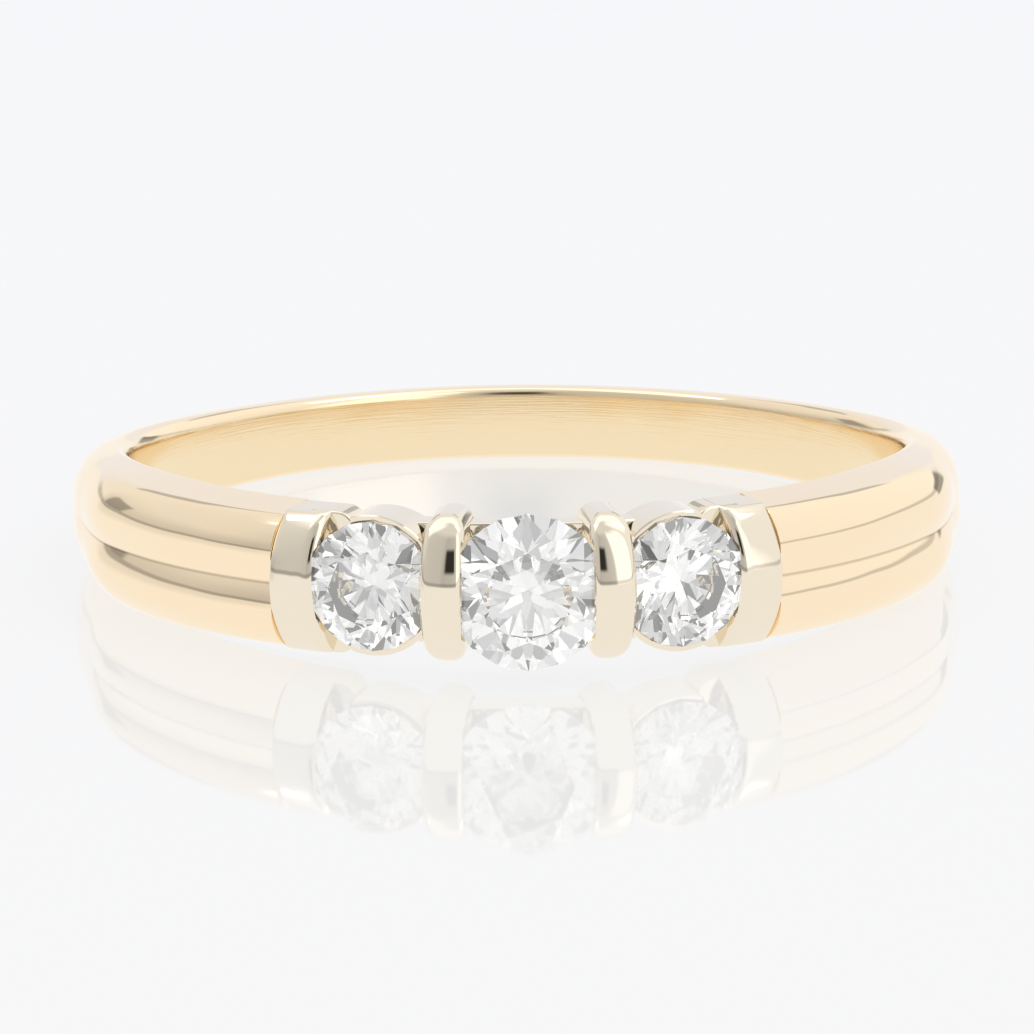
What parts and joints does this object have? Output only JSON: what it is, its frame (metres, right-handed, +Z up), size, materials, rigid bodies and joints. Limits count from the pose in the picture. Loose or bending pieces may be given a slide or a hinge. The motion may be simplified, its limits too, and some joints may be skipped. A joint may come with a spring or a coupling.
{
  "type": "bar-set wedding band",
  "caption": "Finger ring lying on its side: a tapered gold band with a grooved shoulder on each side and a white gold head that holds round brilliants between upright bars.",
  "frame": {"origin": "centre of the ring's box, on the surface that it lies on", "axes": "+Z up from the surface that the ring lies on, the head with its stones towards -Y, the back of the band towards +Y, +X to the right as the head is looked at from the front"},
  "size_m": [0.0198, 0.0205, 0.0037],
  "materials": {
    "yellow_gold": "polished yellow gold with fine wear scratches",
    "white_gold": "polished white gold with a warm tone",
    "stone": "clear brilliant cut"
  },
  "bodies": {
    "root": {"shank": "yellow_gold", "setting": "white_gold", "centre_stone": "stone", "side_stone_left": "stone", "side_stone_right": "stone"}
  },
  "joints": []
}
